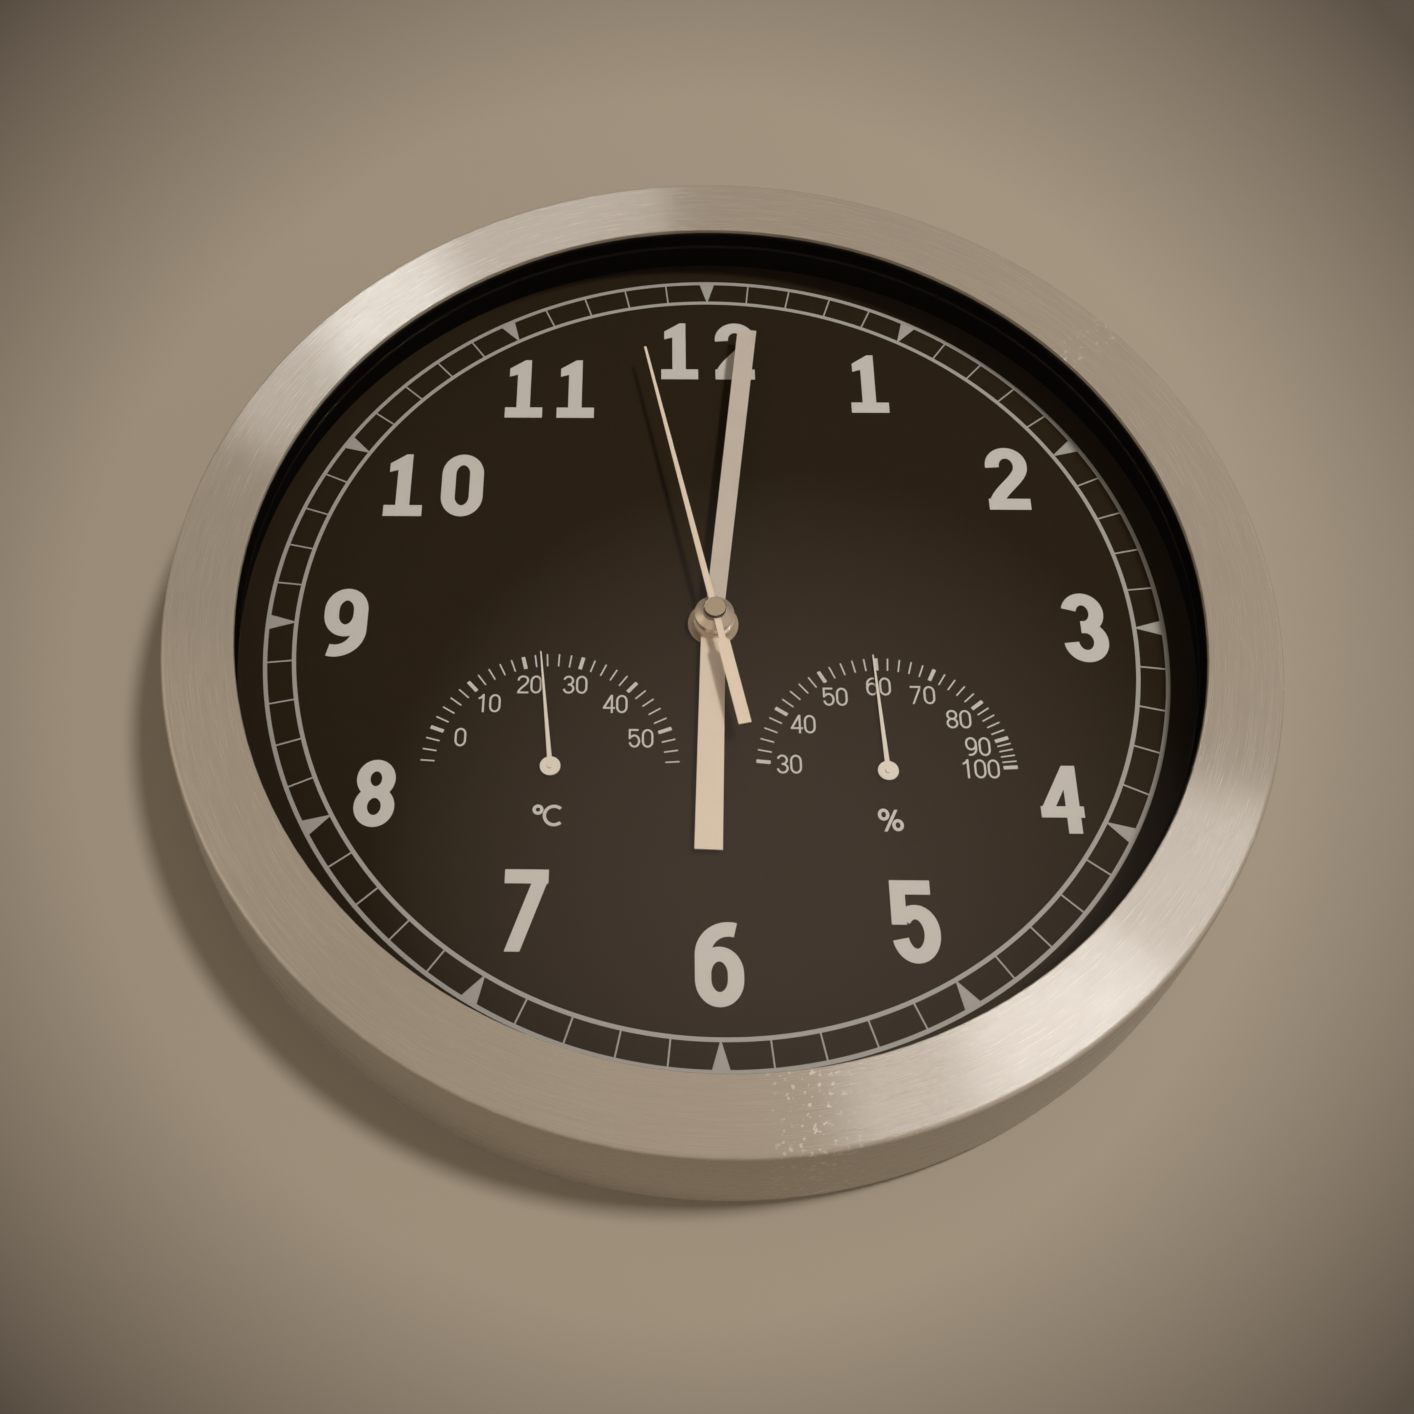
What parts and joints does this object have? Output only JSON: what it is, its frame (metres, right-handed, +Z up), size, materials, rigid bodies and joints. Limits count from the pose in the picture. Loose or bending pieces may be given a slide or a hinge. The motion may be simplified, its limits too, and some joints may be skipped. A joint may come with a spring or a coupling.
{
  "type": "wall clock with thermometer and hygrometer",
  "caption": "Round wall clock in a brushed metal ring with a black dial, three hands and two small gauges for temperature and humidity.",
  "frame": {"origin": "on the clock's axis in the plane of the wall", "axes": "+Z up, +Y into the wall, so the dial faces -Y, +X to the right as seen on the dial"},
  "size_m": [0.3, 0.037, 0.3],
  "materials": {
    "ring_metal": "brushed round the ring, satin side",
    "lens_glass": "clear and polished",
    "black_moulding": "fine grained",
    "dial_paint": "matt black",
    "dial_print": "silver grey print",
    "hand_metal": "satin",
    "cap_metal": "polished",
    "movement_moulding": "satin moulded",
    "button_moulding": "smooth",
    "wheel_moulding": "natural acetal",
    "train_metal": "bright",
    "brass": "satin",
    "magnet": "sintered",
    "winding_wire": "enamelled copper",
    "ferrite": "fired ferrite",
    "board": "resin board",
    "chip_resin": "cast resin",
    "cell_wrap": "plain wrap",
    "gasket_rubber": "soft",
    "screw_steel": "zinc plated",
    "strip_metal": "rolled"
  },
  "bodies": {
    "case": {"frame_ring": "ring_metal", "glass_lens": "lens_glass", "dial_ring": "black_moulding", "dial_plate": "dial_paint", "rear_cover": "black_moulding", "rear_cover_screws": "screw_steel", "movement_case": "movement_moulding", "movement_cover": "movement_moulding", "movement_screws": "screw_steel", "movement_gasket": "gasket_rubber", "dial_washer": "cap_metal", "dial_nut": "brass", "battery": "cell_wrap", "battery_contact_negative": "train_metal", "battery_contact_positive": "train_metal", "circuit_board": "board", "controller_chip": "chip_resin", "button_switches": "chip_resin", "antenna_rod": "ferrite", "antenna_winding": "winding_wire", "seconds_stator": "train_metal", "seconds_coil": "winding_wire", "minute_stator": "train_metal", "minute_coil": "winding_wire", "thermometer_cup": "black_moulding", "thermometer_coil": "strip_metal", "hygrometer_cup": "black_moulding", "hygrometer_coil": "strip_metal"},
    "seconds": {"seconds_wheel": "train_metal", "second_hand": "hand_metal", "second_hand_cap": "cap_metal"},
    "minutes": {"minute_wheel": "brass", "minute_hand": "hand_metal"},
    "hours": {"hour_wheel": "wheel_moulding", "hour_hand": "hand_metal"},
    "seconds_intermediate": {"seconds_intermediate_wheel": "wheel_moulding"},
    "seconds_motor": {"seconds_rotor": "magnet"},
    "minute_intermediate": {"minute_intermediate_wheel": "wheel_moulding"},
    "minute_motor": {"minute_rotor": "magnet"},
    "motion": {"motion_wheel": "wheel_moulding"},
    "thermometer": {"thermometer_pointer": "hand_metal", "thermometer_arbor": "train_metal"},
    "hygrometer": {"hygrometer_pointer": "hand_metal", "hygrometer_arbor": "train_metal"},
    "set_key": {"set_button": "button_moulding"},
    "receive_key": {"receive_button": "button_moulding"},
    "reset_key": {"reset_button": "button_moulding"}
  },
  "joints": [
    {"name": "second_hand_turn", "type": "hinge", "parent": "case", "child": "seconds", "pos_m": [0, 0, 0], "axis": [0, 1, 0], "continuous": true},
    {"name": "minute_hand_turn", "type": "hinge", "parent": "case", "child": "minutes", "pos_m": [0, 0, 0], "axis": [0, 1, 0], "continuous": true},
    {"name": "hour_hand_turn", "type": "hinge", "parent": "case", "child": "hours", "pos_m": [0, 0, 0], "axis": [0, 1, 0], "continuous": true},
    {"name": "seconds_intermediate_turn", "type": "hinge", "parent": "case", "child": "seconds_intermediate", "pos_m": [-0.0075, 0, 0], "axis": [0, 1, 0], "continuous": true},
    {"name": "seconds_motor_turn", "type": "hinge", "parent": "case", "child": "seconds_motor", "pos_m": [-0.0138, 0, 0], "axis": [0, 1, 0], "continuous": true},
    {"name": "minute_intermediate_turn", "type": "hinge", "parent": "case", "child": "minute_intermediate", "pos_m": [0.0075, 0, 0], "axis": [0, 1, 0], "continuous": true},
    {"name": "minute_motor_turn", "type": "hinge", "parent": "case", "child": "minute_motor", "pos_m": [0.0138, 0, 0], "axis": [0, 1, 0], "continuous": true},
    {"name": "motion_turn", "type": "hinge", "parent": "case", "child": "motion", "pos_m": [0, 0, 0.0072], "axis": [0, 1, 0], "continuous": true},
    {"name": "thermometer_turn", "type": "hinge", "parent": "case", "child": "thermometer", "pos_m": [-0.0433, 0, -0.0434], "axis": [0, 1, 0], "range_deg": [-83.9, 96.1], "deforming": ["thermometer_coil"]},
    {"name": "hygrometer_turn", "type": "hinge", "parent": "case", "child": "hygrometer", "pos_m": [0.0448, 0, -0.0439], "axis": [0, 1, 0], "range_deg": [-87, 93], "deforming": ["hygrometer_coil"]},
    {"name": "set_press", "type": "slide", "parent": "case", "child": "set_key", "axis": [0, -1, 0], "range_m": [0, 0.0008], "stiffness_N_per_m": 1200},
    {"name": "receive_press", "type": "slide", "parent": "case", "child": "receive_key", "axis": [0, -1, 0], "range_m": [0, 0.0008], "stiffness_N_per_m": 1200},
    {"name": "reset_press", "type": "slide", "parent": "case", "child": "reset_key", "axis": [0, -1, 0], "range_m": [0, 0.0008], "stiffness_N_per_m": 1200}
  ],
  "couplings": [
    {"joint": "hour_hand_turn", "follows": "minute_hand_turn", "ratio": 0.083333},
    {"joint": "motion_turn", "follows": "minute_hand_turn", "ratio": -0.33333},
    {"joint": "minute_intermediate_turn", "follows": "minute_hand_turn", "ratio": -5},
    {"joint": "minute_motor_turn", "follows": "minute_hand_turn", "ratio": 30},
    {"joint": "seconds_intermediate_turn", "follows": "second_hand_turn", "ratio": -5},
    {"joint": "seconds_motor_turn", "follows": "second_hand_turn", "ratio": 30}
  ]
}
